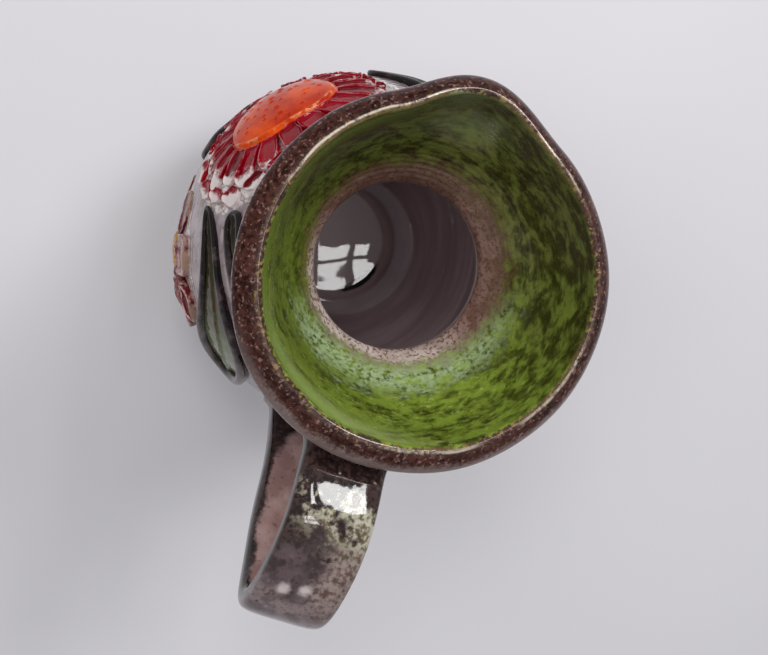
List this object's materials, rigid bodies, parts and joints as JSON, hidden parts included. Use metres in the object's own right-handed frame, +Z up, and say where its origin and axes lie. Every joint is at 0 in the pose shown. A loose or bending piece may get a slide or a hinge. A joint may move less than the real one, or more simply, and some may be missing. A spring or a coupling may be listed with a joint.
{
  "type": "pouring jug",
  "caption": "Glazed stoneware pouring jug with a round belly, narrow neck, cup-shaped mouth, pulled spout, strap handle and raised flowers and leaves.",
  "frame": {"origin": "centre of the foot ring's resting face", "axes": "+Z up along the jug's axis, +X towards the spout, -X towards the handle, +Y the side with the main flower"},
  "size_m": [0.1955, 0.1463, 0.205],
  "materials": {
    "mauve_glaze": "gloss glaze, mottled mauve grey",
    "green_glaze": "gloss glaze, mottled green, brown over the lip",
    "brown_glaze": "gloss glaze, mottled dark brown and mauve",
    "orange_glaze": "gloss glaze, orange",
    "red_glaze": "gloss glaze, crimson with pale edges",
    "pink_glaze": "gloss glaze, cream pink with dark red edges",
    "ochre_glaze": "gloss glaze, ochre",
    "leaf_glaze": "gloss glaze, grey green",
    "black_glaze": "gloss glaze, grey black"
  },
  "bodies": {
    "root": {"body": "mauve_glaze", "mouth": "green_glaze", "handle": "brown_glaze", "flower_centre": "orange_glaze", "lower_flower_centre": "ochre_glaze", "inner_petal_1": "red_glaze", "inner_petal_2": "red_glaze", "inner_petal_3": "red_glaze", "inner_petal_4": "red_glaze", "inner_petal_5": "red_glaze", "inner_petal_6": "red_glaze", "inner_petal_7": "red_glaze", "inner_petal_8": "red_glaze", "inner_petal_9": "red_glaze", "inner_petal_10": "red_glaze", "inner_petal_11": "red_glaze", "inner_petal_12": "red_glaze", "inner_petal_13": "red_glaze", "inner_petal_14": "red_glaze", "inner_petal_15": "red_glaze", "inner_petal_16": "red_glaze", "inner_petal_17": "red_glaze", "inner_petal_18": "red_glaze", "outer_petal_1": "red_glaze", "outer_petal_2": "red_glaze", "outer_petal_3": "red_glaze", "outer_petal_4": "red_glaze", "outer_petal_5": "red_glaze", "outer_petal_6": "red_glaze", "outer_petal_7": "red_glaze", "outer_petal_8": "red_glaze", "outer_petal_9": "red_glaze", "outer_petal_10": "red_glaze", "outer_petal_11": "red_glaze", "outer_petal_12": "red_glaze", "outer_petal_13": "red_glaze", "outer_petal_14": "red_glaze", "outer_petal_15": "red_glaze", "outer_petal_16": "red_glaze", "outer_petal_17": "red_glaze", "outer_petal_18": "red_glaze", "lower_petal_1": "pink_glaze", "lower_petal_2": "pink_glaze", "lower_petal_3": "pink_glaze", "lower_petal_4": "pink_glaze", "lower_petal_5": "pink_glaze", "lower_petal_6": "pink_glaze", "lower_petal_7": "pink_glaze", "lower_petal_8": "pink_glaze", "leaf_blade_1": "leaf_glaze", "leaf_blade_2": "leaf_glaze", "leaf_blade_3": "leaf_glaze", "leaf_blade_4": "leaf_glaze", "leaf_blade_5": "leaf_glaze", "leaf_rim_1": "black_glaze", "leaf_rim_2": "black_glaze", "leaf_rim_3": "black_glaze", "leaf_rim_4": "black_glaze", "leaf_rim_5": "black_glaze"}
  },
  "joints": []
}
